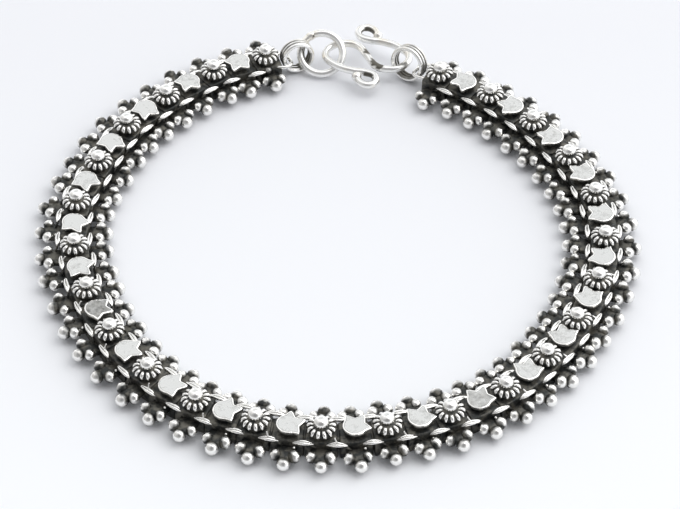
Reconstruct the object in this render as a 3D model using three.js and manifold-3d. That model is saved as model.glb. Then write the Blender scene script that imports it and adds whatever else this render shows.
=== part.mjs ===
// A silver link bracelet: flower links and tulip plaque links take turns in one row, closed by an S-hook.
// Millimetres, +Z up. It lies on z = 0 with its flowers up and its clasp towards +Y, and the origin is
// the middle of its underside.
import * as THREE from "three";
import { ConvexGeometry } from "three/addons/geometries/ConvexGeometry.js";
import { mergeVertices } from "three/addons/utils/BufferGeometryUtils.js";
import Module from "manifold-3d";

const wasm = await Module();
wasm.setup();

const vec = (x, y, z) => new THREE.Vector3(x, y, z);
const degrees = THREE.MathUtils.degToRad;

// The row of links runs counter-clockwise round a slightly oval, slightly egg-shaped loop.
const FLOWER_COUNT = 25;
const LINK_COUNT = 2 * FLOWER_COUNT - 1;
const LINK_PITCH = 3.6;
const LOOP_RADIUS = 31;
const LOOP_OVAL = -0.0175;
const LOOP_EGG = 0.0088;
const FIRST_LINK_ANGLE = degrees(106.4);
// How far each flower link lies from its even place, along the row and into the loop
const FLOWER_DRIFTS = [
  { along: 0.1, inward: -0.8 },
  { along: -0.3, inward: -0.4 },
  { along: -0.2, inward: 0.1 },
  { along: -0.4, inward: 0 },
  { along: -0.3, inward: 0.1 },
  { along: -0.3, inward: -0.5 },
  { along: -0.2, inward: -0.3 },
  { along: -0.1, inward: 0 },
  { along: 0, inward: -0.1 },
  { along: 0.3, inward: -0.2 },
  { along: 0.3, inward: -0.4 },
  { along: 0.3, inward: -0.3 },
  { along: 0.4, inward: -0.1 },
  { along: 0.5, inward: 0.1 },
  { along: 0.5, inward: 0 },
  { along: 0.5, inward: 0.1 },
  { along: 0.2, inward: 0.5 },
  { along: -0.1, inward: 0.7 },
  { along: -0.2, inward: 0.5 },
  { along: -0.2, inward: 0.1 },
  { along: -0.1, inward: 0 },
  { along: -0.1, inward: 0.2 },
  { along: 0.2, inward: 0.1 },
  { along: 0.1, inward: 0 },
  { along: 0.2, inward: -0.1 },
];
// Degrees that each link is turned on the table, from facing along the row
const LINK_TWISTS = [
  0, 0, 4, -2, -2, -2, 0, 0, 0, -4, -2, -4, 1, -3, 3, 2, 0,
  0, 3, 4, 6, 6, 5, 4, 0, 4, 4, 4, -2, 0, 0, 0, 0, 0,
  0, 0, 0, 0, 0, 0, 0, 0, 0, 0, 0, 0, 0, 0, 0,
];

// Body of a link: a block that is smaller at the top
const BODY_FOOT_LENGTH = 2.9;
const BODY_FOOT_WIDTH = 3.5;
const BODY_TOP_LENGTH = 1.3;
const BODY_TOP_WIDTH = 1.9;
const BODY_HEIGHT = 2.5;
const SEAT_DEPTH = 0.1;

// Trefoil of three beads on each side of a link, rooted in its body
const SIDE_BEAD_RADIUS = 0.64;
const SIDE_BEAD_REACH = 3.05;
const SIDE_BEAD_HEIGHT = 1.42;
const SIDE_BEAD_SPREAD = { inside: 0.85, outside: 0.98 };
const OUTER_BEAD_RADIUS = 0.75;
const OUTER_BEAD_REACH = { inside: 3.92, outside: 4.15 };
const OUTER_BEAD_HEIGHT = 1.2;
// The links from this place on lean out a little, so their beads lie nearer the inside of the loop.
const FIRST_LEANING_LINK = 26;
const LEAN = { sideBeads: 0.3, outerBead: 0.45 };
const BEAD_ROOT_REACH = 1.3;
const BEAD_ROOT_SPREAD = 0.7;
const BEAD_ROOT_HEIGHT = 0.85;

// Side rings: each one arches over a joint and comes down between the next link's beads.
const RING_REACH = { inside: 2, outside: 1.72 };
const RING_WIDTH = 0.55;
const RING_DEPTH = 0.5;
const RING_CREST = 2.35;
const RING_CREST_LENGTH = 1.3;
const RING_TIP_HEIGHT = 1.5;
const RING_TIP_FLARE = 0.2;
const RING_TIP_SETBACK = 0.15;

// Flower with its dome
const FLOWER_SIDES = 9;
const FLOWER_RADIUS = 1.72;
const FLOWER_CROWN_RADIUS = 1.2;
const FLOWER_TOP = 3.4;
const DOME_RADIUS = 0.84;
const DOME_FLATNESS = 0.7;
const DOME_HEIGHT = 3.95;
const VERTEX_DOWN = Math.atan(2 / (1 + Math.sqrt(5)));

// Tulip plate: round at one end, three points at the other. Turns are from the row's direction inwards.
const TULIP_RADIUS = 1.38;
const TULIP_TOP = 3.2;
const TULIP_CROWN = [
  { turn: degrees(-72), reach: 1.84 },
  { turn: degrees(-36), reach: 1.19 },
  { turn: 0, reach: 1.94 },
  { turn: degrees(31), reach: 1.19 },
  { turn: degrees(63), reach: 1.94 },
];
const TULIP_TURNS = [
  49, 40, 42, 27, 28, 29, 34, 54, 29, 27, 23, 25, 52, 58, 44, 39, 40, 35, 53, 50, 35, 40, 30, 45,
].map(degrees);

// Eyes on the row's two ends, which the triple rings go through
const EYE_WIRE = 0.45;
const EYE_HEIGHT = 2;
const EYE_INNER_WIDTH = 2;
const EYE_INNER_LENGTH = 1.1;
const EYE_ROOT = 0.4;
const LEFT_EYE = { reach: 2.16, inward: 0.48 };
const RIGHT_EYE = { reach: 2.49, inward: -0.28 };

// Clasp: where each piece's middle lies, and the axis that it turns round
const RING_SEGMENTS = 12;
const TRIPLE_WIRE = 0.54;
const TRIPLE_SPACING = 0.52;
const LEFT_TRIPLE = { radius: 1.85, centre: vec(-5.25, 31.91, 2.18), axis: vec(0.336, -0.931, 0.144) };
const RIGHT_TRIPLE = { radius: 2.05, centre: vec(8.77, 30.36, 2.38), axis: vec(-0.531, -0.81, 0.248) };
const JUMP_RING = { radius: 2.64, centre: vec(-2.17, 32.37, 2.14), axis: vec(-0.035, -0.566, 0.824) };
const JUMP_RING_WIRE = 0.96;
const HOOK_WIRE = 0.9;
const HOOK_BALL_RADIUS = 0.55;
const HOOK_CENTRE = vec(3.56, 31.99, 2.02);
const HOOK_HEADING = degrees(7.8);
const HOOK_TILT = degrees(5.4);
const HOOK_STEPS = 30;
// Half of the hook, from one ball to its middle: the other half is this one turned half round.
const HOOK_HALF = [
  vec(-1.85, -3.35, 0),
  vec(-1.45, -4.45, 0),
  vec(-0.55, -4.95, 0),
  vec(0.4, -4.5, 0),
  vec(0.45, -3.5, 0),
  vec(-0.6, -2.75, 0),
  vec(-2.2, -2.25, 0),
  vec(-4.4, -0.8, 0),
  vec(-5.2, 0.8, 0),
  vec(-4.05, 2.35, 0),
  vec(-2.3, 2.55, 0),
  vec(-0.9, 1.9, 0),
];

const SILVER = { color: 0xe6e6e8, metalness: 1, roughness: 0.22 };
const OXIDISED = { color: 0x8d8c8a, metalness: 1, roughness: 0.4 };

function solidOf(geometry) {
  const bare = geometry.clone();
  bare.deleteAttribute("normal");
  bare.deleteAttribute("uv");
  const merged = mergeVertices(bare, 1e-4);
  return new wasm.Manifold(
    new wasm.Mesh({
      numProp: 3,
      vertProperties: new Float32Array(merged.attributes.position.array),
      triVerts: new Uint32Array(merged.index.array),
    }),
  );
}

function geometryOf(solid) {
  const mesh = solid.getMesh();
  const geometry = new THREE.BufferGeometry();
  geometry.setAttribute("position", new THREE.BufferAttribute(mesh.vertProperties, 3));
  geometry.setIndex(new THREE.BufferAttribute(mesh.triVerts, 1));
  return geometry;
}

function soldered(geometries) {
  return geometryOf(geometries.map(solidOf).reduce((whole, piece) => whole.add(piece)));
}

// A closed surface that starts at a point, runs through four-sided belts and ends at a point.
function taperedGeometry(tail, belts, tip) {
  const corners = [];
  belts.forEach((belt, index) => {
    const next = belts[index + 1];
    for (let i = 0; i < 4; i += 1) {
      const j = (i + 1) % 4;
      if (index === 0) corners.push(tail, belt[j], belt[i]);
      if (next) corners.push(belt[i], belt[j], next[j], belt[i], next[j], next[i]);
      else corners.push(tip, belt[i], belt[j]);
    }
  });
  return new THREE.BufferGeometry().setFromPoints(corners);
}

function belt(centre, across, halfWidth, halfDepth) {
  return [
    centre.clone().addScaledVector(across, halfWidth),
    centre.clone().setZ(centre.z - halfDepth),
    centre.clone().addScaledVector(across, -halfWidth),
    centre.clone().setZ(centre.z + halfDepth),
  ];
}

function bodyGeometry() {
  const corners = [];
  for (const end of [-1, 1]) {
    for (const side of [-1, 1]) {
      corners.push(vec((end * BODY_FOOT_LENGTH) / 2, (side * BODY_FOOT_WIDTH) / 2, 0));
      corners.push(vec((end * BODY_TOP_LENGTH) / 2, (side * BODY_TOP_WIDTH) / 2, BODY_HEIGHT));
    }
  }
  return new ConvexGeometry(corners);
}

function beadGeometry(radius, centre, root) {
  const out = vec(centre.x - root.x, centre.y - root.y, 0).normalize();
  const across = vec(out.y, -out.x, 0);
  const tip = centre.clone().addScaledVector(out, radius);
  return taperedGeometry(root, [belt(centre, across, radius, radius)], tip);
}

function trefoilGeometries(side, lean) {
  const rootY = side * BEAD_ROOT_REACH;
  const reach = side > 0 ? OUTER_BEAD_REACH.inside : OUTER_BEAD_REACH.outside;
  const outerBead = vec(0, side * reach + lean.outerBead, OUTER_BEAD_HEIGHT);
  const beads = [beadGeometry(OUTER_BEAD_RADIUS, outerBead, vec(0, rootY, BEAD_ROOT_HEIGHT))];
  const spread = side > 0 ? SIDE_BEAD_SPREAD.inside : SIDE_BEAD_SPREAD.outside;
  for (const end of [-1, 1]) {
    const sideBead = vec(end * spread, side * SIDE_BEAD_REACH + lean.sideBeads, SIDE_BEAD_HEIGHT);
    const root = vec(end * BEAD_ROOT_SPREAD, rootY, BEAD_ROOT_HEIGHT);
    beads.push(beadGeometry(SIDE_BEAD_RADIUS, sideBead, root));
  }
  return beads;
}

function sideRingGeometry(side) {
  const joint = LINK_PITCH / 2;
  const reach = side * (side > 0 ? RING_REACH.inside : RING_REACH.outside);
  const height = RING_CREST - RING_DEPTH / 2;
  const ends = [-RING_CREST_LENGTH / 2, RING_CREST_LENGTH / 2];
  const belts = ends.map((end) =>
    belt(vec(joint + end, reach, height), vec(0, -1, 0), RING_WIDTH / 2, RING_DEPTH / 2),
  );
  const tail = vec(BODY_TOP_LENGTH / 3, (side * BODY_TOP_WIDTH) / 2, height - BODY_HEIGHT / 4);
  const tip = vec(LINK_PITCH - RING_TIP_SETBACK, reach + side * RING_TIP_FLARE, RING_TIP_HEIGHT);
  return taperedGeometry(tail, belts, tip);
}

function flowerGeometries() {
  const profile = [
    new THREE.Vector2(0, BODY_HEIGHT - SEAT_DEPTH),
    new THREE.Vector2(FLOWER_RADIUS, BODY_HEIGHT - SEAT_DEPTH),
    new THREE.Vector2(FLOWER_CROWN_RADIUS, FLOWER_TOP),
    new THREE.Vector2(0, FLOWER_TOP),
  ];
  const petals = new THREE.LatheGeometry(profile, FLOWER_SIDES).rotateX(Math.PI / 2);
  const dome = new THREE.IcosahedronGeometry(DOME_RADIUS).rotateX(VERTEX_DOWN);
  return [petals, dome.scale(1, 1, DOME_FLATNESS).translate(0, 0, DOME_HEIGHT)];
}

function tulipGeometry(turn) {
  const outline = new THREE.Shape();
  outline.absarc(0, 0, TULIP_RADIUS, Math.PI / 2, (3 * Math.PI) / 2);
  for (const point of TULIP_CROWN) {
    outline.lineTo(point.reach * Math.cos(point.turn), point.reach * Math.sin(point.turn));
  }
  const depth = TULIP_TOP - BODY_HEIGHT + SEAT_DEPTH;
  const plate = new THREE.ExtrudeGeometry(outline, { depth, curveSegments: 2, bevelEnabled: false });
  return plate.rotateZ(turn).translate(0, 0, BODY_HEIGHT - SEAT_DEPTH);
}

// A flat eye at one end of a link: direction is 1 at its front and -1 at its rear.
function eyeGeometry(direction, { reach, inward }) {
  const holeSide = EYE_INNER_WIDTH / 2;
  const holeStart = reach - EYE_INNER_LENGTH / 2;
  const holeEnd = reach + EYE_INNER_LENGTH / 2;
  const outline = new THREE.Shape();
  outline.moveTo(EYE_ROOT, -BODY_TOP_WIDTH / 3);
  outline.lineTo(holeStart, inward - holeSide - EYE_WIRE);
  outline.lineTo(holeEnd + EYE_WIRE, inward - holeSide - EYE_WIRE);
  outline.lineTo(holeEnd + EYE_WIRE, inward + holeSide + EYE_WIRE);
  outline.lineTo(holeStart, inward + holeSide + EYE_WIRE);
  outline.lineTo(EYE_ROOT, BODY_TOP_WIDTH / 3);
  const hole = new THREE.Path();
  hole.moveTo(holeStart, inward - holeSide);
  hole.lineTo(holeStart, inward + holeSide);
  hole.lineTo(holeEnd, inward + holeSide);
  hole.lineTo(holeEnd, inward - holeSide);
  outline.holes.push(hole);
  const eye = new THREE.ExtrudeGeometry(outline, { depth: EYE_WIRE, bevelEnabled: false });
  eye.translate(0, 0, -EYE_WIRE / 2);
  if (direction < 0) eye.rotateY(Math.PI);
  return eye.translate(0, 0, EYE_HEIGHT);
}

function linkGeometry(pieces, hasNext, leans) {
  const lean = leans ? LEAN : { sideBeads: 0, outerBead: 0 };
  const trefoils = [...trefoilGeometries(-1, lean), ...trefoilGeometries(1, lean)];
  const all = [bodyGeometry(), ...trefoils, ...pieces];
  if (hasNext) all.push(sideRingGeometry(-1), sideRingGeometry(1));
  return soldered(all);
}

// Even steps of one pitch along the loop, each with its place and heading
function evenPlaces() {
  const radius = (angle) =>
    LOOP_RADIUS * (1 + LOOP_OVAL * Math.sin(2 * angle) + LOOP_EGG * Math.cos(3 * angle));
  const point = (angle) => vec(radius(angle) * Math.cos(angle), radius(angle) * Math.sin(angle), 0);
  const places = [];
  let angle = FIRST_LINK_ANGLE;
  for (let i = 0; i < LINK_COUNT; i += 1) {
    const position = point(angle);
    const ahead = point(angle + 0.001).sub(position);
    places.push({ position, heading: Math.atan2(ahead.y, ahead.x) });
    angle += (0.001 * LINK_PITCH) / ahead.length();
  }
  return places;
}

// The even places moved by the flowers' drifts, with each plaque half-way between its neighbours' drifts
function linkPlaces() {
  const positions = evenPlaces().map(({ position, heading }, place) => {
    const before = FLOWER_DRIFTS[Math.floor(place / 2)];
    const after = FLOWER_DRIFTS[Math.ceil(place / 2)];
    const along = (before.along + after.along) / 2;
    const inward = (before.inward + after.inward) / 2;
    return position.add(vec(along, inward, 0).applyAxisAngle(vec(0, 0, 1), heading));
  });
  return positions.map((position, place) => {
    const before = positions[Math.max(place - 1, 0)];
    const after = positions[Math.min(place + 1, LINK_COUNT - 1)];
    const alongRow = Math.atan2(after.y - before.y, after.x - before.x);
    return { position, heading: alongRow + degrees(LINK_TWISTS[place]) };
  });
}

// Three turns of wire side by side, as one ring round its axis
function tripleRingGeometry(radius) {
  const wire = TRIPLE_WIRE / 2;
  const profile = [
    new THREE.Vector2(radius - wire, -TRIPLE_SPACING),
    new THREE.Vector2(radius + wire, -TRIPLE_SPACING),
    new THREE.Vector2(radius + wire / 2, -TRIPLE_SPACING / 2),
    new THREE.Vector2(radius + wire, 0),
    new THREE.Vector2(radius + wire / 2, TRIPLE_SPACING / 2),
    new THREE.Vector2(radius + wire, TRIPLE_SPACING),
    new THREE.Vector2(radius - wire, TRIPLE_SPACING),
  ];
  return new THREE.LatheGeometry([...profile, profile[0]], RING_SEGMENTS).rotateX(Math.PI / 2);
}

function hookGeometry() {
  const otherHalf = HOOK_HALF.map((point) => point.clone().negate()).reverse();
  const path = new THREE.CatmullRomCurve3([...HOOK_HALF, vec(0, 0, 0), ...otherHalf]);
  const section = new THREE.Shape();
  section.absarc(0, 0, HOOK_WIRE / 2, 0, 2 * Math.PI);
  const wire = new THREE.ExtrudeGeometry(section, {
    steps: HOOK_STEPS,
    curveSegments: 3,
    extrudePath: path,
  });
  const balls = [HOOK_HALF[0], otherHalf.at(-1)].map(({ x, y, z }) =>
    new THREE.IcosahedronGeometry(HOOK_BALL_RADIUS).translate(x, y, z),
  );
  return soldered([wire, ...balls]);
}

const bracelet = new THREE.Group();
const pieces = new THREE.Group();
bracelet.add(pieces);

function addPiece(name, geometry, finish) {
  const mesh = new THREE.Mesh(geometry, new THREE.MeshStandardMaterial(finish));
  mesh.name = name;
  pieces.add(mesh);
  return mesh;
}

function layRing(name, geometry, { centre, axis }) {
  const ring = addPiece(name, geometry, SILVER);
  ring.position.copy(centre);
  ring.quaternion.setFromUnitVectors(vec(0, 0, 1), axis.clone().normalize());
}

linkPlaces().forEach(({ position, heading }, place) => {
  const pair = Math.floor(place / 2);
  const number = String(pair + 1).padStart(2, "0");
  const isFlower = place % 2 === 0;
  const isLast = place === LINK_COUNT - 1;
  const name = isFlower ? `flower_link_${number}` : `plaque_link_${number}`;
  const extras = isFlower ? flowerGeometries() : [tulipGeometry(TULIP_TURNS[pair])];
  if (place === 0) extras.push(eyeGeometry(-1, LEFT_EYE));
  if (isLast) extras.push(eyeGeometry(1, RIGHT_EYE));
  const geometry = linkGeometry(extras, !isLast, place >= FIRST_LEANING_LINK);
  const link = addPiece(name, geometry, OXIDISED);
  link.position.copy(position);
  link.rotation.z = heading;
});

layRing("left_triple_ring", tripleRingGeometry(LEFT_TRIPLE.radius), LEFT_TRIPLE);
layRing("right_triple_ring", tripleRingGeometry(RIGHT_TRIPLE.radius), RIGHT_TRIPLE);
layRing("jump_ring", new THREE.TorusGeometry(JUMP_RING.radius, JUMP_RING_WIRE / 2, 5, 14), JUMP_RING);
const hook = addPiece("s_hook", hookGeometry(), SILVER);
hook.position.copy(HOOK_CENTRE);
hook.rotation.set(HOOK_TILT, 0, HOOK_HEADING, "ZXY");

// The middle of the underside goes to the origin.
const extent = new THREE.Box3().setFromObject(pieces, true);
const middle = extent.getCenter(vec(0, 0, 0));
pieces.position.set(-middle.x, -middle.y, -extent.min.z);

export default bracelet;
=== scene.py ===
import math
import random

import bmesh
import bpy
from mathutils import Matrix, Vector


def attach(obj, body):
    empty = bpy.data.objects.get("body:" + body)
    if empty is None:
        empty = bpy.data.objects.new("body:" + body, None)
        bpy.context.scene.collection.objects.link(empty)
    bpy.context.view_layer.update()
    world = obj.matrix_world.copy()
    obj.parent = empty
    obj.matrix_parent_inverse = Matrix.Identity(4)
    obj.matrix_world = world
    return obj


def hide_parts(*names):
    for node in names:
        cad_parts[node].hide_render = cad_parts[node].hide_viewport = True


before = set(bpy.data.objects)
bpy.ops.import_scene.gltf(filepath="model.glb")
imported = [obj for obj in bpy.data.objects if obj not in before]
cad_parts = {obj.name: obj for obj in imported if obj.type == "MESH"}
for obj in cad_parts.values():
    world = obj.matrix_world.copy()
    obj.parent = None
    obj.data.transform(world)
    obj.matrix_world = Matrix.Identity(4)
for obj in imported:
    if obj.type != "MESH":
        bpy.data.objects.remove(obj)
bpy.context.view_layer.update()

# --- The row ---------------------------------------------------------------------------------------------
# Forty-nine short links stand on the table in one loop, each turned to face along the row. A link is made
# in millimetres round its own middle, with +X towards the next link and +Y into the loop, and then set in
# its place. Where a size has two values, 1 is the side inside the loop and -1 the side outside it.
FLOWER_COUNT = 25
LINK_COUNT = 2 * FLOWER_COUNT - 1
LINK_PITCH = 3.6
LOOP_RADIUS = 31
LOOP_OVAL = -0.0175
LOOP_EGG = 0.0088
LOOP_CENTRE = Vector((0.20422, -0.64946, 0))
FIRST_LINK_ANGLE = math.radians(106.4)
ANGLE_STEP = 0.001
# How far each flower link lies from its even place: along the row, and into the loop
FLOWER_DRIFTS = [
    (0.1, -0.8), (-0.3, -0.4), (-0.2, 0.1), (-0.4, 0), (-0.3, 0.1), (-0.3, -0.5), (-0.2, -0.3), (-0.1, 0),
    (0, -0.1), (0.3, -0.2), (0.3, -0.4), (0.3, -0.3), (0.4, -0.1), (0.5, 0.1), (0.5, 0), (0.5, 0.1),
    (0.2, 0.5), (-0.1, 0.7), (-0.2, 0.5), (-0.2, 0.1), (-0.1, 0), (-0.1, 0.2), (0.2, 0.1), (0.1, 0),
    (0.2, -0.1),
]
# Degrees that each link is turned on the table, from facing along the row
LINK_TWISTS = [
    0, 0, 4, -2, -2, -2, 0, 0, 0, -4, -2, -4, 1, -3, 3, 2, 0,
    0, 3, 4, 6, 6, 5, 4, 0, 4, 4, 4, -2, 0, 0, 0, 0, 0,
    0, 0, 0, 0, 0, 0, 0, 0, 0, 0, 0, 0, 0, 0, 0,
]
MILLIMETRE = 0.001
IN_METRES = Matrix.Scale(MILLIMETRE, 4)


def loop_point(angle):
    radius = LOOP_RADIUS * (1 + LOOP_OVAL * math.sin(2 * angle) + LOOP_EGG * math.cos(3 * angle))
    return Vector((radius * math.cos(angle), radius * math.sin(angle), 0))


def link_places():
    points = []
    angle = FIRST_LINK_ANGLE
    for index in range(LINK_COUNT):
        here = loop_point(angle)
        ahead = (loop_point(angle + ANGLE_STEP) - here) / ANGLE_STEP
        before, after = FLOWER_DRIFTS[index // 2], FLOWER_DRIFTS[(index + 1) // 2]
        along, inward = ((before[axis] + after[axis]) / 2 for axis in (0, 1))
        forward = ahead.normalized()
        points.append(here + forward * along + Vector((-forward.y, forward.x, 0)) * inward)
        angle += LINK_PITCH / ahead.length
    places = []
    for index, point in enumerate(points):
        ahead = points[min(index + 1, LINK_COUNT - 1)] - points[max(index - 1, 0)]
        heading = math.atan2(ahead.y, ahead.x) + math.radians(LINK_TWISTS[index])
        turn = Matrix.Rotation(heading, 4, "Z")
        places.append(IN_METRES @ Matrix.Translation(LOOP_CENTRE + point) @ turn)
    return places


# --- Oxidised silver -------------------------------------------------------------------------------------
# Sterling silver blackened all over and then rubbed bright on whatever stands up. Each piece carries its own
# polish value, from 0 in the blackened hollows to 1 on the rubbed crests, and the finish follows it. Some
# pieces also lower this value for painted shade, so the finish is drawn blackened where shade falls on them.
POLISH_AND_SHADE = "polish_and_shade"
BRIGHT_SILVER = (0.93, 0.92, 0.895, 1)
BLACKENED_SILVER = (0.036, 0.038, 0.037, 1)
BROWN_BLACKENING = (0.145, 0.137, 0.117, 1)
RUBBED_RATE = 1.5
RUBBED_START = 0.35
RUB_UNEVENNESS = 1.3
BLACKENED_METALLIC = 0.6
BLACKENED_ROUGHNESS = 0.42
RUBBED_ROUGHNESS = 0.17
STAIN_FROM = 0.43
STAIN_TO = 0.63
# Marks of each kind to a metre
RUB_MARKS = 1400
STAIN_MARKS = 1100
DENT_MARKS = 900
PIT_MARKS = 5200
DENT_SHARE = 0.7
PIT_SHARE = 0.12
DENT_STRENGTH = 0.35
DENT_DEPTH = 0.00025


class Socket:
    """One output of a shader node, so that maths on it can be written as Python."""

    def __init__(self, tree, output):
        self.tree = tree
        self.output = output

    def node(self, kind, settings=None, inputs=None, output=0):
        made = self.tree.nodes.new(kind)
        for name, value in (settings or {}).items():
            setattr(made, name, value)
        for name, value in (inputs or {}).items():
            if isinstance(value, Socket):
                self.tree.links.new(value.output, made.inputs[name])
            else:
                made.inputs[name].default_value = value
        return Socket(self.tree, made.outputs[output])

    def math(self, operation, other, clamp=False):
        settings = {"operation": operation, "use_clamp": clamp}
        return self.node("ShaderNodeMath", settings, {0: self, 1: other})

    def __add__(self, other):
        return self.math("ADD", other)

    def __mul__(self, other):
        return self.math("MULTIPLY", other)

    def __sub__(self, other):
        return self.math("SUBTRACT", other)

    def __rsub__(self, other):
        return self.math("MULTIPLY", -1) + other

    __radd__ = __add__
    __rmul__ = __mul__

    def clamped(self):
        return self.math("ADD", 0.0, clamp=True)

    def ramp(self, low, high):
        return ((self - low) * (1 / (high - low))).clamped()

    def mix(self, low, high):
        settings = {"data_type": "RGBA"}
        return self.node("ShaderNodeMix", settings, {0: self, 6: low, 7: high}, output=2)

    def noise(self, scale, detail, roughness=0.5):
        values = {"Vector": self, "Scale": scale, "Detail": detail, "Roughness": roughness}
        return self.node("ShaderNodeTexNoise", None, values)

    def bump(self, strength, distance):
        values = {"Height": self, "Strength": strength, "Distance": distance}
        return self.node("ShaderNodeBump", None, values)


def new_finish(name):
    finish = bpy.data.materials.new(name)
    finish.use_nodes = True
    tree = finish.node_tree
    return finish, tree.nodes["Principled BSDF"], Socket(tree, None)


def connect(shader, **sockets):
    for name, value in sockets.items():
        target = shader.inputs[name.replace("_", " ")]
        if isinstance(value, Socket):
            value.tree.links.new(value.output, target)
        else:
            target.default_value = value


oxidised_silver, shader, start = new_finish("oxidised_silver")
where = start.node("ShaderNodeTexCoord", output="Object")
polish_and_shade = start.node("ShaderNodeAttribute", {"attribute_name": POLISH_AND_SHADE}, output="Fac")
rub = where.noise(RUB_MARKS, 3.0, 0.6)
# Painted shade: where a piece lowers its polish value for shade, this mix draws the silver blackened, as it
# does for the real patina.
worn_and_lit = (polish_and_shade * RUBBED_RATE - RUBBED_START + (rub - 0.5) * RUB_UNEVENNESS).clamped()
stain = where.noise(STAIN_MARKS, 3.0, 0.6).ramp(STAIN_FROM, STAIN_TO)
blackening = stain.mix(BLACKENED_SILVER, BROWN_BLACKENING)
dents = where.noise(DENT_MARKS, 1.0) * DENT_SHARE + where.noise(PIT_MARKS, 2.0) * PIT_SHARE
connect(
    shader,
    Base_Color=worn_and_lit.mix(blackening, BRIGHT_SILVER),
    Metallic=worn_and_lit * (1 - BLACKENED_METALLIC) + BLACKENED_METALLIC,
    Roughness=BLACKENED_ROUGHNESS - worn_and_lit * (BLACKENED_ROUGHNESS - RUBBED_ROUGHNESS),
    Normal=dents.bump(DENT_STRENGTH, DENT_DEPTH),
)

# --- Body of a link --------------------------------------------------------------------------------------
# A short blackened box, open underneath, with softened edges, and a barrel that fills the joint to the
# next link. The beads, side rings and the ornament on top are all soldered to the box.
BODY_INNER_LENGTH = 3.25
BODY_OUTER_LENGTH = 3.7
BODY_FOOT_WIDTH = 3.5
BODY_TOP_WIDTH = 3.2
BODY_HEIGHT = 2.3
BODY_ROUNDING = 0.14
BODY_WALL = 0.4
BODY_HOLLOW = 1.3
HINGE_RADIUS = 0.55
HINGE_LENGTH = 2.7
HINGE_HEIGHT = 1.6
# Polish of the black parts, from those that a hand can brush to those that nothing reaches
BRUSHED_BLACK = 0.1
DEEP_BLACK = 0.05
UNTOUCHED_BLACK = 0.0


def at(x, y, z):
    return Matrix.Translation((x, y, z))


def sized(x, y, z):
    return Matrix.Diagonal((x, y, z, 1))


def turned(degrees, axis):
    return Matrix.Rotation(math.radians(degrees), 4, axis)


def edges_of(verts):
    return list({edge for vert in verts for edge in vert.link_edges})


def set_polish(bm, verts, value):
    layer = bm.verts.layers.float[POLISH_AND_SHADE]
    for vert in verts:
        vert[layer] = value(vert.co) if callable(value) else value


def add_body(bm):
    block = at(0, 0, BODY_HEIGHT / 2) @ sized(1, 1, BODY_HEIGHT)
    verts = bmesh.ops.create_cube(bm, size=1, matrix=block)["verts"]
    for vert in verts:
        vert.co.x *= BODY_INNER_LENGTH if vert.co.y > 0 else BODY_OUTER_LENGTH
        vert.co.y *= BODY_TOP_WIDTH if vert.co.z > BODY_HEIGHT / 2 else BODY_FOOT_WIDTH
    bmesh.ops.bevel(
        bm, geom=edges_of(verts), offset=BODY_ROUNDING, segments=2, profile=0.5, affect="EDGES", material=-1,
        offset_type="OFFSET",
    )
    set_polish(bm, bm.verts, BRUSHED_BLACK)
    foot = min(bm.faces, key=lambda face: face.calc_center_median().z)
    bmesh.ops.inset_region(bm, faces=[foot], thickness=BODY_WALL, use_even_offset=True)
    bmesh.ops.translate(bm, verts=foot.verts[:], vec=(0, 0, BODY_HOLLOW))


def add_hinge(bm):
    across = at(LINK_PITCH / 2, 0, HINGE_HEIGHT) @ turned(90, "X")
    made = bmesh.ops.create_cone(
        bm, cap_ends=True, segments=12, radius1=HINGE_RADIUS, radius2=HINGE_RADIUS, depth=HINGE_LENGTH,
        matrix=across,
    )
    set_polish(bm, made["verts"], BRUSHED_BLACK)


# --- Trefoils of beads -----------------------------------------------------------------------------------
# Three round beads on each long side, melted onto a small blackened web: two side by side against the body
# and a bigger one outside them. The beads are rubbed bright and stay blackened where they sink into the web.
# Beyond that, their sides towards the web and their undersides are darkened as painted shade.
SIDE_BEAD_RADIUS = {1: 0.68, -1: 0.71}
SIDE_BEAD_REACH = 3.05
SIDE_BEAD_HEIGHT = 1.42
SIDE_BEAD_SPREAD = {1: 0.86, -1: 1.0}
OUTER_BEAD_RADIUS = 0.8
OUTER_BEAD_REACH = {1: 3.87, -1: 4.1}
OUTER_BEAD_HEIGHT = 1.2
# How far handwork puts a bead off its place, and how its size varies
OUTER_BEAD_STRAY = (-0.15, 0.15)
SIDE_BEAD_STRAY_ALONG = (-0.08, 0.08)
SIDE_BEAD_STRAY_OUT = (-0.1, 0.12)
OUTER_BEAD_SIZES = (0.94, 1.04)
SIDE_BEAD_SIZES = (0.92, 1.1)
# A bead has this polish at its middle. It gains by the fade towards its rubbed and lit side, which faces
# away from the trefoil's middle and up by the lift. It loses as much towards the other side, and that darker
# side is painted shade.
BEAD_SHINES = (-0.15, 0.4)
OUTER_BEAD_FADE = 2.6
OUTER_BEAD_LIFT = 0.15
SIDE_BEAD_FADE = 2.4
SIDE_BEAD_LIFT = 0.7
TREFOIL_MIDDLE = 3.35
WEB_RADIUS = 0.3
WEB_ROOT = (0.95, 1.4, 1)
WEB_TIP_BACK = 0.3
# The links from this place on lean out a little, so their beads lie nearer the inside of the loop
FIRST_LEANING_LINK = 26
SIDE_BEAD_LEAN = 0.3
OUTER_BEAD_LEAN = 0.45


def between(low, value):
    return max(low, min(1, value))


# A ball is drawn brighter towards its rubbed and lit side and darker on its far side and underneath. That
# darkening is painted shade.
def add_ball(bm, centre, radius, rubbed_and_lit_side=(0, 0, 1), shine=1.4, fade=1.2, flatness=1, subdivisions=2):
    squash = at(*centre) @ sized(1, 1, flatness)
    made = bmesh.ops.create_icosphere(bm, subdivisions=subdivisions, radius=radius, matrix=squash)
    outward = Vector(rubbed_and_lit_side).normalized() / radius

    def polish_with_shade(co):
        return between(BRUSHED_BLACK, shine + fade * outward.dot(co - Vector(centre)))

    set_polish(bm, made["verts"], polish_with_shade)


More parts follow.
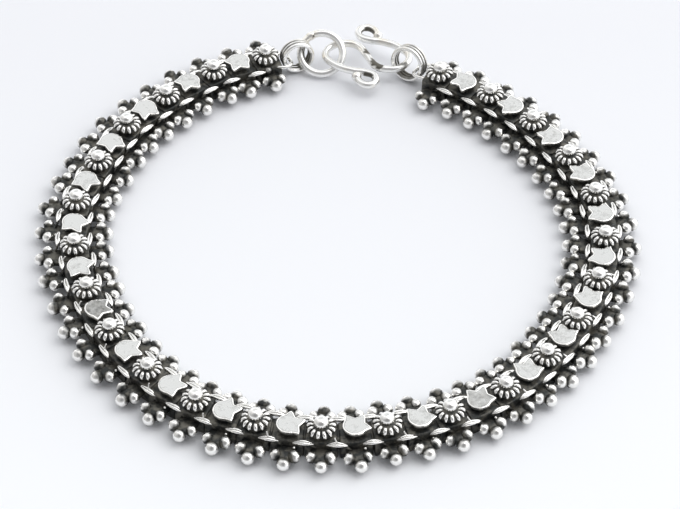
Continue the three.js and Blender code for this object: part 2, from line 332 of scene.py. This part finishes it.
def add_web(bm, centres):
    ball = bmesh.new()
    bmesh.ops.create_icosphere(ball, subdivisions=1, radius=WEB_RADIUS)
    verts = [bm.verts.new(centre + vert.co) for centre in centres for vert in ball.verts]
    ball.free()
    set_polish(bm, verts, BRUSHED_BLACK)
    hull = bmesh.ops.convex_hull(bm, input=verts)
    left_over = set(hull["geom_interior"]) | set(hull["geom_unused"])
    inside = [item for item in left_over if isinstance(item, bmesh.types.BMVert)]
    bmesh.ops.delete(bm, geom=inside, context="VERTS")


def add_trefoil(bm, side, lean, chance):
    outer_y = side * OUTER_BEAD_REACH[side] + lean * OUTER_BEAD_LEAN
    outer = Vector((chance.uniform(*OUTER_BEAD_STRAY), outer_y, OUTER_BEAD_HEIGHT))
    inner = []
    for end in (-1, 1):
        x = end * SIDE_BEAD_SPREAD[side] + chance.uniform(*SIDE_BEAD_STRAY_ALONG)
        y = side * (SIDE_BEAD_REACH + chance.uniform(*SIDE_BEAD_STRAY_OUT)) + lean * SIDE_BEAD_LEAN
        inner.append(Vector((x, y, SIDE_BEAD_HEIGHT)))
    along, out, up = WEB_ROOT
    roots = [Vector((end * along, side * out, up)) for end in (-1, 1)]
    tip = outer.lerp(inner[0].lerp(inner[1], 0.5), WEB_TIP_BACK)
    add_web(bm, [tip, *inner, *roots])
    shine = chance.uniform(*BEAD_SHINES)
    radius = OUTER_BEAD_RADIUS * chance.uniform(*OUTER_BEAD_SIZES)
    add_ball(bm, outer, radius, (0, side, OUTER_BEAD_LIFT), shine, OUTER_BEAD_FADE)
    middle = side * TREFOIL_MIDDLE + lean * SIDE_BEAD_LEAN
    for centre in inner:
        radius = SIDE_BEAD_RADIUS[side] * chance.uniform(*SIDE_BEAD_SIZES)
        away = (centre.x, centre.y - middle, SIDE_BEAD_LIFT)
        add_ball(bm, centre, radius, away, shine, SIDE_BEAD_FADE)


# --- Side rings ------------------------------------------------------------------------------------------
# A double wire on each side arches over the joint to the next link. From above it is a pointed, almond
# shaped crest: two bright wires with a dark groove between them, on dark legs.
RING_REACH = {1: 2, -1: 1.72}
CREST_LENGTH = 2.45
CREST_WIRE = 0.38
CREST_SPREAD = 0.17
CREST_TOP = 2.42
CREST_ARCH = 0.16
# Polish of a crest wire at mid height, and what it gains on top and on the side away from the groove
CREST_SHINE = 1.25
CREST_TOP_SHINE = 1.2
CREST_SIDE_SHINE = 0.9
GROOVE_POLISH = 0.15
LEG_INSET = 0.35
LEG_SINK = 0.1
FOOT_HEIGHT = 1.5
NEAR_FOOT_ALONG = 0.5
NEAR_FOOT_REACH = 1.3
NEAR_LEG_RADII = (0.26, 0.18)
FAR_FOOT_INSET = 0.2
FAR_FOOT_SPLAY = 0.1
FAR_LEG_RADII = (0.18, 0.1)


def add_leg(bm, start, end, radii, polish_and_shade):
    start, end = Vector(start), Vector(end)
    along = end - start
    turn = along.to_track_quat("Z", "Y").to_matrix().to_4x4()
    made = bmesh.ops.create_cone(
        bm, cap_ends=True, segments=8, radius1=radii[0], radius2=radii[1], depth=along.length,
        matrix=at(*(start + end) / 2) @ turn,
    )
    set_polish(bm, made["verts"], polish_and_shade)


def add_side_ring(bm, side):
    joint = LINK_PITCH / 2
    radius = CREST_WIRE / 2
    reach = side * RING_REACH[side]
    layer = bm.verts.layers.float[POLISH_AND_SHADE]
    for strand in (-1, 1):
        made = bmesh.ops.create_uvsphere(bm, u_segments=8, v_segments=9, radius=1, matrix=turned(90, "Y"))
        for vert in made["verts"]:
            x, y, z = vert.co
            shine = CREST_SHINE + CREST_TOP_SHINE * z + CREST_SIDE_SHINE * strand * y
            vert[layer] = between(GROOVE_POLISH, shine)
            vert.co = (
                joint + x * CREST_LENGTH / 2,
                reach + strand * CREST_SPREAD * (1 - x * x) + y * radius,
                CREST_TOP - radius + z * radius - CREST_ARCH * x * x,
            )
    leg_along = CREST_LENGTH / 2 - LEG_INSET
    leg_top = CREST_TOP - radius - CREST_ARCH - LEG_SINK
    near_foot = (NEAR_FOOT_ALONG, side * NEAR_FOOT_REACH, FOOT_HEIGHT)
    far_foot = (LINK_PITCH - FAR_FOOT_INSET, reach + side * FAR_FOOT_SPLAY, FOOT_HEIGHT)
    add_leg(bm, near_foot, (joint - leg_along, reach, leg_top), NEAR_LEG_RADII, DEEP_BLACK)
    add_leg(bm, (joint + leg_along, reach, leg_top), far_foot, FAR_LEG_RADII, UNTOUCHED_BLACK)


# --- Flower ----------------------------------------------------------------------------------------------
# A ring of coiled wire, whose thirteen turns show as bright petals with black between them, on a black
# drum. A big polished bead sits in the middle, and the coil's end is tucked away beside it.
FLOWER_DRUM = [(1.25, 2.2), (1.45, 2.7), (1.52, 2.95), (1.4, 3.2), (1.1, 3.32), (0.72, 3.5)]
PETAL_COUNT = 13
PETAL_RING_RADIUS = 1.13
PETAL_RING_DEPTH = 0.5
PETAL_RING_HEIGHT = 2.95
PETAL_THICKNESS = 0.15
PETAL_WIDTH = 0.16
PETAL_SLANT = 0.07
PETAL_FROM = math.radians(152)
PETAL_TO = math.radians(-18)
PETAL_SHINE = 1.0
PETAL_OUTER_SHINE = 1.2
DOME_RADIUS = 0.84
DOME_HEIGHT = 3.98
DOME_FLATNESS = 0.68
DOME_FLATNESS_VARIES = (-0.05, 0.08)
DOME_STRAY = (-0.07, 0.07)
COIL_END = [(1.5, -1.2, 2.75), (1.62, -1.4, 2.55), (1.75, -1.55, 2.4)]
COIL_END_RADIUS = 0.1
WELD = 0.001


def add_drum(bm, profile):
    rings = []
    for radius, height in profile:
        made = bmesh.ops.create_circle(bm, segments=24, radius=radius, matrix=at(0, 0, height))
        set_polish(bm, made["verts"], DEEP_BLACK)
        rings.append(edges_of(made["verts"]))
    bmesh.ops.bridge_loops(bm, edges=[edge for ring in rings for edge in ring])
    for ring in (rings[0], rings[-1]):
        bmesh.ops.contextual_create(bm, geom=ring)


def add_wire(bm, points, radius, polish_and_shade=1.0):
    curve = bpy.data.curves.new("wire", "CURVE")
    curve.dimensions = "3D"
    curve.bevel_depth = radius
    curve.bevel_resolution = 3
    curve.use_fill_caps = True
    curve.resolution_u = 6
    spline = curve.splines.new("BEZIER")
    spline.bezier_points.add(len(points) - 1)
    for knot, point in zip(spline.bezier_points, points):
        knot.co = point
        knot.handle_left_type = knot.handle_right_type = "AUTO"
    drawn = bpy.data.objects.new("wire", curve)
    bpy.context.collection.objects.link(drawn)
    bpy.context.view_layer.update()
    mesh = bpy.data.meshes.new_from_object(drawn.evaluated_get(bpy.context.evaluated_depsgraph_get()))
    bpy.data.objects.remove(drawn)
    bpy.data.curves.remove(curve)
    others = set(bm.verts)
    bm.from_mesh(mesh)
    bpy.data.meshes.remove(mesh)
    bmesh.ops.remove_doubles(bm, verts=[vert for vert in bm.verts if vert not in others], dist=WELD)
    set_polish(bm, set(bm.verts) - others, polish_and_shade)


def add_petal(bm, turn):
    made = bmesh.ops.create_uvsphere(bm, u_segments=8, v_segments=7, radius=1, matrix=turned(90, "Y"))
    layer = bm.verts.layers.float[POLISH_AND_SHADE]
    for vert in made["verts"]:
        x, y, z = vert.co
        share = (x + 1) / 2
        bend = PETAL_FROM + (PETAL_TO - PETAL_FROM) * share
        out = PETAL_RING_DEPTH + z * PETAL_THICKNESS
        reach = PETAL_RING_RADIUS + out * math.cos(bend)
        height = PETAL_RING_HEIGHT + out * math.sin(bend)
        vert[layer] = between(BRUSHED_BLACK, PETAL_SHINE + PETAL_OUTER_SHINE * z)
        slanted = Matrix.Rotation(turn + share * PETAL_SLANT, 3, "Z")
        vert.co = slanted @ Vector((reach, y * PETAL_WIDTH * reach, height))


def add_flower(bm, chance):
    add_drum(bm, FLOWER_DRUM)
    first = chance.uniform(0, math.tau)
    for petal in range(PETAL_COUNT):
        add_petal(bm, first + petal * math.tau / PETAL_COUNT)
    centre = (chance.uniform(*DOME_STRAY), chance.uniform(*DOME_STRAY), DOME_HEIGHT)
    flatness = DOME_FLATNESS + chance.uniform(*DOME_FLATNESS_VARIES)
    add_ball(bm, centre, DOME_RADIUS, flatness=flatness, subdivisions=3)
    add_wire(bm, COIL_END, COIL_END_RADIUS)


# --- Tulip plate -----------------------------------------------------------------------------------------
# A flat plate, round at one end and cut to three points at the other, with a bright bevelled edge and a
# mirror top. It is soldered to a blackened post, and a drop of solder lies beside it.
TULIP_RADIUS = 1.38
TULIP_TOP = 3.3
TULIP_THICKNESS = 0.42
TULIP_BEVEL = 0.12
TULIP_BEVEL_DROP = 0.05
TULIP_LINE = 0.05
TULIP_LINE_POLISH = 0.55
TULIP_SEAT = 0.05
TULIP_TILT = (-0.06, 0.06)
# Turn and reach of each point and notch of the crown, and then of the round end
TULIP_CROWN = [
    (-95, 1.38), (-82, 1.57), (-72, 1.86), (-63, 1.62), (-48, 1.3), (-36, 1.2), (-24, 1.35), (-8, 1.78),
    (0, 1.95), (8, 1.76), (21, 1.32), (31, 1.2), (42, 1.35), (55, 1.74), (63, 1.94), (72, 1.7), (84, 1.43),
]
TULIP_ROUND_END = [(97 + 14 * step, TULIP_RADIUS) for step in range(12)]
# Degrees that each plate is turned on its link
TULIP_TURNS = [
    49, 40, 42, 27, 28, 29, 34, 54, 29, 27, 23, 25, 52, 58, 44, 39, 40, 35, 53, 50, 35, 40, 30, 45,
]
# Polish of the two plates drawn darker than the rest, by their number, and the range of the others
DARKER_PLATES = {8: 0.48, 15: 0.62}
CLEAN_PLATES = (0.84, 1.0)
POST_RADIUS = 1.0
POST_FOOT = 2.2
POST_TOP = 2.95
SOLDER_DROP = (0.85, -2.12, 1.75)
SOLDER_DROP_RADIUS = 0.17


def add_tulip(bm, turn, shine, chance):
    others = set(bm.verts)
    outline = [
        bm.verts.new(turned(degrees, "Z") @ Vector((reach, 0, 0)))
        for degrees, reach in TULIP_CROWN + TULIP_ROUND_END
    ]
    made = bmesh.ops.extrude_face_region(bm, geom=[bm.faces.new(outline)])
    top = [item for item in made["geom"] if isinstance(item, bmesh.types.BMVert)]
    lid = [item for item in made["geom"] if isinstance(item, bmesh.types.BMFace)]
    bmesh.ops.translate(bm, verts=top, vec=(0, 0, TULIP_THICKNESS - TULIP_BEVEL_DROP))
    set_polish(bm, top, 1)
    rims = [(TULIP_BEVEL, TULIP_BEVEL_DROP, 1), (TULIP_LINE, 0, TULIP_LINE_POLISH), (TULIP_LINE, 0, shine)]
    for width, rise, polish_and_shade in rims:
        bmesh.ops.inset_region(bm, faces=lid, thickness=width, use_even_offset=True)
        inner = list({vert for face in lid for vert in face.verts})
        bmesh.ops.translate(bm, verts=inner, vec=(0, 0, rise))
        set_polish(bm, inner, polish_and_shade)
    plate = list(set(bm.verts) - others)
    tilt = Matrix.Rotation(chance.uniform(*TULIP_TILT), 4, "X")
    tilt = tilt @ Matrix.Rotation(chance.uniform(*TULIP_TILT), 4, "Y")
    seat = at(TULIP_SEAT, 0, TULIP_TOP - TULIP_THICKNESS) @ turned(turn, "Z") @ tilt
    bmesh.ops.transform(bm, matrix=seat, verts=plate)
    flat_faces = {face for vert in plate for face in vert.link_faces}
    add_drum(bm, [(POST_RADIUS, POST_FOOT), (POST_RADIUS, POST_TOP)])
    add_ball(bm, SOLDER_DROP, SOLDER_DROP_RADIUS)
    return flat_faces


# --- End eyes --------------------------------------------------------------------------------------------
# Pale silver eyes on the row's two ends, which hold the triple rings. The first link also has a dull pin
# head on the side inside the loop.
EYE_WIRE = 0.45
EYE_HEIGHT = 2
EYE_INNER_WIDTH = 2
EYE_INNER_LENGTH = 1.1
EYE_ROOT = 0.6
EYE_CORNER_ALONG = 0.25
EYE_CORNER_ACROSS = 0.3
EYE_POLISH = 0.95
# How far each eye's middle lies past the middle of its link, and into the loop
LEFT_EYE = (2.16, 0.48)
RIGHT_EYE = (2.49, -0.28)
PIN_HEAD = (0.24, 1.62, 2)
PIN_HEAD_RADIUS = 0.44
PIN_HEAD_POLISH = 0.55


def add_eye(bm, direction, reach, inward):
    side = (EYE_INNER_WIDTH + EYE_WIRE) / 2
    near = reach - (EYE_INNER_LENGTH + EYE_WIRE) / 2
    far = reach + (EYE_INNER_LENGTH + EYE_WIRE) / 2
    corner = far - EYE_CORNER_ALONG
    straight = side - EYE_CORNER_ACROSS
    loop = [(EYE_ROOT, EYE_ROOT), (near, inward + side), (corner, inward + side)]
    loop += [(far, inward + straight), (far, inward), (far, inward - straight)]
    loop += [(corner, inward - side), (near, inward - side), (EYE_ROOT, -EYE_ROOT)]
    points = [(direction * x, y, EYE_HEIGHT) for x, y in loop]
    add_wire(bm, points, EYE_WIRE / 2, EYE_POLISH)


# --- Links -----------------------------------------------------------------------------------------------
# Twenty-five flower links and twenty-four plaque links take turns, each one soldered piece of silver. The
# last link has no side rings and no barrel, since no link follows it.
# Each link draws its handwork's unevenness from a seed of its own, which this number starts
FIRST_SEED = 100


def new_bmesh():
    bm = bmesh.new()
    bm.verts.layers.float.new(POLISH_AND_SHADE)
    return bm


def finish_piece(bm, node, finish, place, flat_faces=()):
    bmesh.ops.transform(bm, matrix=place, verts=bm.verts)
    for face in bm.faces:
        face.smooth = face not in flat_faces
    name = node + "_silver"
    mesh = bpy.data.meshes.new(name)
    bm.to_mesh(mesh)
    bm.free()
    mesh.materials.append(finish)
    piece = bpy.data.objects.new(name, mesh)
    bpy.context.collection.objects.link(piece)
    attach(piece, "root")
    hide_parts(node)


def make_link(index, place):
    chance = random.Random(FIRST_SEED + index)
    pair, is_plaque = divmod(index, 2)
    kind = "plaque_link" if is_plaque else "flower_link"
    lean = 1 if index >= FIRST_LEANING_LINK else 0
    bm = new_bmesh()
    add_body(bm)
    for side in (-1, 1):
        add_trefoil(bm, side, lean, chance)
        if index < LINK_COUNT - 1:
            add_side_ring(bm, side)
    if index < LINK_COUNT - 1:
        add_hinge(bm)
    flat_faces = set()
    if is_plaque:
        shine = DARKER_PLATES.get(pair + 1, chance.uniform(*CLEAN_PLATES))
        flat_faces = add_tulip(bm, TULIP_TURNS[pair], shine, chance)
    else:
        add_flower(bm, chance)
    if index == 0:
        add_eye(bm, -1, *LEFT_EYE)
        add_ball(bm, PIN_HEAD, PIN_HEAD_RADIUS, shine=PIN_HEAD_POLISH, fade=0)
    if index == LINK_COUNT - 1:
        add_eye(bm, 1, *RIGHT_EYE)
    finish_piece(bm, f"{kind}_{pair + 1:02d}", oxidised_silver, place, flat_faces)


for index, place in enumerate(link_places()):
    make_link(index, place)

# --- Triple rings ----------------------------------------------------------------------------------------
# Bright silver. Each is one wire wound three times round and soldered, and holds the clasp to an end eye.
# The lines between the turns are drawn darker, more so inside the ring. One part of the inside is darkened
# as painted shade.
TRIPLE_WIRE = 0.54
TRIPLE_SPACING = 0.52
LEFT_TRIPLE = {
    "radius": 1.85, "centre": (-5.25, 31.91, 2.18), "axis": (0.336, -0.931, 0.144), "painted_shade_side": (0.95, -0.3),
}
RIGHT_TRIPLE = {
    "radius": 2.05, "centre": (8.77, 30.36, 2.38), "axis": (-0.531, -0.81, 0.248), "painted_shade_side": (-0.4, -0.92),
}
INSIDE_MARGIN = 0.1
INSIDE_GROOVE_DARKNESS = 2.6
OUTSIDE_GROOVE_DARKNESS = 1.6
SHADED_POLISH = 0.42
SHADED_FROM = 0.6

# Bright silver with warm patches of tarnish and faint scratches. It is dimmed to brown-black in uneven
# patches of dirt, and as painted shade where a piece lowers its polish value.
CLEAN_SILVER = (0.95, 0.945, 0.925, 1)
TARNISHED_SILVER = (0.9, 0.85, 0.75, 1)
TARNISH_FROM = 0.52
TARNISH_TO = 0.77
TARNISH_MARKS = 500
CLEAN_RATE = 1.6
CLEAN_START = 0.5
CLEAN_UNEVENNESS = 0.7
CLEAN_MARKS = 1200
SCRATCH_MARKS = 2600
SCRATCH_ROUGHNESS = 0.1
HAMMER_MARKS = 700
HAMMER_STRENGTH = 0.25
HAMMER_DEPTH = 0.0002
DIRTY_ROUGHNESS = 0.38
CLEAN_ROUGHNESS = 0.14
PLAIN_METALLIC = 0.84

polished_silver, shader, start = new_finish("polished_silver")
where = start.node("ShaderNodeTexCoord", output="Object")
polish_and_shade = start.node("ShaderNodeAttribute", {"attribute_name": POLISH_AND_SHADE}, output="Fac")
tarnish = where.noise(TARNISH_MARKS, 2.0).ramp(TARNISH_FROM, TARNISH_TO)
unevenness = (where.noise(CLEAN_MARKS, 2.0) - 0.5) * CLEAN_UNEVENNESS
# Dirt and painted shade: the silver turns brown-black where this falls.
clean_and_unshaded = (polish_and_shade * CLEAN_RATE - CLEAN_START + unevenness).clamped()
scratches = where.noise(SCRATCH_MARKS, 3.0) * SCRATCH_ROUGHNESS
connect(
    shader,
    Base_Color=clean_and_unshaded.mix(BROWN_BLACKENING, tarnish.mix(CLEAN_SILVER, TARNISHED_SILVER)),
    Metallic=PLAIN_METALLIC,
    Roughness=DIRTY_ROUGHNESS - clean_and_unshaded * (DIRTY_ROUGHNESS - CLEAN_ROUGHNESS) + scratches,
    Normal=where.noise(HAMMER_MARKS, 1.0).bump(HAMMER_STRENGTH, HAMMER_DEPTH),
)


def add_ring(bm, radius, wire, offset=0.0):
    section = at(radius, 0, offset) @ turned(90, "X")
    made = bmesh.ops.create_circle(bm, segments=12, radius=wire / 2, matrix=section)
    set_polish(bm, made["verts"], 1)
    bmesh.ops.spin(
        bm, geom=edges_of(made["verts"]), cent=(0, 0, 0), axis=(0, 0, 1), angle=math.tau, steps=48,
        use_merge=True,
    )
    bmesh.ops.recalc_face_normals(bm, faces=bm.faces)


def facing(centre, axis):
    turn = Vector((0, 0, 1)).rotation_difference(Vector(axis)).to_matrix().to_4x4()
    return IN_METRES @ Matrix.Translation(LOOP_CENTRE + Vector(centre)) @ turn


def make_triple_ring(node, radius, centre, axis, painted_shade_side):
    bm = new_bmesh()
    for turn in (-1, 0, 1):
        add_ring(bm, radius, TRIPLE_WIRE, turn * TRIPLE_SPACING)

    def polish_with_shade(co):
        across = abs(co.z)
        nearest_turn = round(across / TRIPLE_SPACING) * TRIPLE_SPACING
        groove = 0 if across > TRIPLE_SPACING else abs(across - nearest_turn) / TRIPLE_WIRE
        inside = co.xy.length < radius - INSIDE_MARGIN
        # Painted shade: the inside of the ring on its given side is drawn at a lower polish
        shaded = inside and co.xy.normalized().dot(Vector(painted_shade_side)) > SHADED_FROM
        darkness = INSIDE_GROOVE_DARKNESS if inside else OUTSIDE_GROOVE_DARKNESS
        return (SHADED_POLISH if shaded else 1) - groove * darkness

    set_polish(bm, bm.verts, polish_with_shade)
    finish_piece(bm, node, polished_silver, facing(centre, axis))


make_triple_ring("left_triple_ring", **LEFT_TRIPLE)
make_triple_ring("right_triple_ring", **RIGHT_TRIPLE)

# --- Jump ring -------------------------------------------------------------------------------------------
# One bigger silver ring of thicker wire, through the left triple ring. Its ends are closed by a blob of
# solder with a small black pit.
JUMP_RING = {"centre": (-2.17, 32.37, 2.14), "axis": (-0.035, -0.566, 0.824)}
JUMP_RING_RADIUS = 2.64
JUMP_RING_WIRE = 0.98
SOLDER_DEGREES = 120
SOLDER_SIZE = (0.56, 0.8, 0.56)
PIT_PLACE = Vector((0.4, -0.1, 0.4))
PIT_RADIUS = 0.2
PIT_POLISH = 0.1

bm = new_bmesh()
add_ring(bm, JUMP_RING_RADIUS, JUMP_RING_WIRE)
solder_place = turned(SOLDER_DEGREES, "Z") @ at(JUMP_RING_RADIUS, 0, 0)
blob = bmesh.ops.create_icosphere(bm, subdivisions=3, radius=1, matrix=solder_place @ sized(*SOLDER_SIZE))
pit = solder_place.translation + PIT_PLACE
set_polish(bm, blob["verts"], lambda co: PIT_POLISH if (co - pit).length < PIT_RADIUS else 1)
finish_piece(bm, "jump_ring", polished_silver, facing(**JUMP_RING))

# --- S-hook ----------------------------------------------------------------------------------------------
# Plain round silver wire bent to an S, both ends curled back inside it and melted to a ball. One bend
# runs through the jump ring and the other through the right triple ring.
HOOK_WIRE = 0.94
HOOK_BALL_RADIUS = 0.62
HOOK_CENTRE = Vector((3.56, 31.99, 2.02))
HOOK_HEADING = 7.8
HOOK_TILT = 5.4
HOOK_HALF = [
    (-1.85, -3.35, 0), (-1.45, -4.45, 0), (-0.55, -4.95, 0), (0.4, -4.5, 0), (0.45, -3.5, 0),
    (-0.6, -2.75, 0), (-2.2, -2.25, 0), (-4.4, -0.8, 0), (-5.2, 0.8, 0), (-4.05, 2.35, 0), (-2.3, 2.55, 0),
    (-0.9, 1.9, 0),
]
# Places where dark patches are painted on the wire for its shade and dark reflections, and how far round
# them
HOOK_PAINTED_SHADE = [(0.62, 3.85, 0.78), (-0.62, -3.85, 0.78), (0, 0.35, 0.42), (0.75, -1.5, 0.6), (1.25, -2, 0.6)]
HOOK_SHADE_POLISH = 0.1


def hook_polish_and_shade(co):
    in_painted_shade = any((co.xy - Vector((x, y))).length < reach for x, y, reach in HOOK_PAINTED_SHADE)
    return HOOK_SHADE_POLISH if in_painted_shade else 1


bm = new_bmesh()
other_half = [(-x, -y, z) for x, y, z in reversed(HOOK_HALF)]
add_wire(bm, HOOK_HALF + [(0, 0, 0)] + other_half, HOOK_WIRE / 2, hook_polish_and_shade)
for tip in (HOOK_HALF[0], other_half[-1]):
    ball = bmesh.ops.create_icosphere(bm, subdivisions=3, radius=HOOK_BALL_RADIUS, matrix=at(*tip))
    set_polish(bm, ball["verts"], 1)
hook_turn = turned(HOOK_HEADING, "Z") @ turned(HOOK_TILT, "X")
hook_place = IN_METRES @ Matrix.Translation(LOOP_CENTRE + HOOK_CENTRE) @ hook_turn
finish_piece(bm, "s_hook", polished_silver, hook_place)

# --- Table -----------------------------------------------------------------------------------------------
# A pale matt table top that the bracelet lies on. Its colour is painted a little darker towards the far
# side, as painted shade where the light falls off. It is the stage and not a piece.
TABLE_HALF_WIDTH = 1.5
TABLE_DROP = 0.00002
TABLE_NEAR_COLOUR = (0.93, 0.945, 0.975, 1)
TABLE_FAR_SHADED_COLOUR = (0.86, 0.87, 0.905, 1)
TABLE_SHADE_RATE = 13
TABLE_ROUGHNESS = 0.6
TABLE_SPECULAR = 0.2

table, shader, start = new_finish("table")
where = start.node("ShaderNodeTexCoord", output="Object")
depth = start.node("ShaderNodeSeparateXYZ", None, {"Vector": where}, output="Y")
# Painted shade: the table's colour darkens towards the far side.
pale_with_painted_falloff = (depth * TABLE_SHADE_RATE + 0.5).clamped().mix(TABLE_NEAR_COLOUR, TABLE_FAR_SHADED_COLOUR)
connect(shader, Base_Color=pale_with_painted_falloff, Roughness=TABLE_ROUGHNESS, Specular_IOR_Level=TABLE_SPECULAR)
bm = bmesh.new()
bmesh.ops.create_grid(bm, x_segments=1, y_segments=1, size=TABLE_HALF_WIDTH, matrix=at(0, 0, -TABLE_DROP))
mesh = bpy.data.meshes.new("table")
bm.to_mesh(mesh)
bm.free()
mesh.materials.append(table)
table_top = bpy.data.objects.new("table", mesh)
bpy.context.collection.objects.link(table_top)

# --- Camera ----------------------------------------------------------------------------------------------
# It looks down on the loop at 45 degrees through a long lens, and aims a little above the table and a
# little nearer than the loop's middle.
CAMERA_TARGET = (LOOP_CENTRE + Vector((0.14, -5.4, 4.2))) * MILLIMETRE
CAMERA_DISTANCE = 0.3276
CAMERA_TILT = math.radians(45)
CAMERA_LENS = 150
CAMERA_SENSOR = 36
CAMERA_CLIP = 0.01
TOWARDS_CAMERA = Vector((0, -math.cos(CAMERA_TILT), math.sin(CAMERA_TILT)))

camera = bpy.data.cameras.new("camera")
camera.lens = CAMERA_LENS
camera.sensor_width = CAMERA_SENSOR
camera.clip_start = CAMERA_CLIP
viewpoint = bpy.data.objects.new("camera", camera)
viewpoint.location = CAMERA_TARGET + TOWARDS_CAMERA * CAMERA_DISTANCE
viewpoint.rotation_euler = (math.pi / 2 - CAMERA_TILT, 0, 0)
bpy.context.collection.objects.link(viewpoint)
bpy.context.scene.camera = viewpoint
bpy.context.scene.view_settings.view_transform = "Standard"

# --- Light -----------------------------------------------------------------------------------------------
# A white tent, brighter overhead, with dimmer walls on the left and behind, and the dark of the viewer's
# own side reflected in every bead. One soft window lights it from the right.
TENT_STRENGTH = 1.46
TENT_LOW = (0.8, 0.81, 0.83, 1)
TENT_OVERHEAD = (1.15, 1.15, 1.15, 1)
# Direction of each zone's middle, degrees to its edge and to its full tone, and the tone
OVERHEAD_ZONE = ((0.25, 0.3, 1), 95, 20)
DIM_ZONES = [
    ((-1, -0.2, 0.25), 75, 20, (0.4, 0.4, 0.4, 1)),
    ((0, 1, 0.95), 34, 18, (0.56, 0.575, 0.585, 1)),
    (TOWARDS_CAMERA, 58, 20, (0.2, 0.2, 0.205, 1)),
]
WINDOW_PLACE = Vector((0.3, 0.1, 0.55))
WINDOW_SIZE = 0.6
WINDOW_POWER = 0.9

tent = bpy.data.worlds.new("tent")
tent.use_nodes = True
sky = tent.node_tree.nodes["Background"]
direction = Socket(tent.node_tree, None).node("ShaderNodeTexCoord", output="Generated")


def zone_share(centre, edge, core):
    aim = tuple(Vector(centre).normalized())
    settings = {"operation": "DOT_PRODUCT"}
    aligned = direction.node("ShaderNodeVectorMath", settings, {0: direction, 1: aim}, output="Value")
    return aligned.ramp(math.cos(math.radians(edge)), math.cos(math.radians(core)))


tone = zone_share(*OVERHEAD_ZONE).mix(TENT_LOW, TENT_OVERHEAD)
for centre, edge, core, dim in DIM_ZONES:
    tone = zone_share(centre, edge, core).mix(tone, dim)
connect(sky, Color=tone, Strength=TENT_STRENGTH)
bpy.context.scene.world = tent

window = bpy.data.lights.new("window", "AREA")
window.energy = WINDOW_POWER
window.size = WINDOW_SIZE
window_frame = bpy.data.objects.new("window", window)
window_frame.location = WINDOW_PLACE
window_frame.rotation_euler = (-WINDOW_PLACE).to_track_quat("-Z", "Y").to_euler()
bpy.context.collection.objects.link(window_frame)
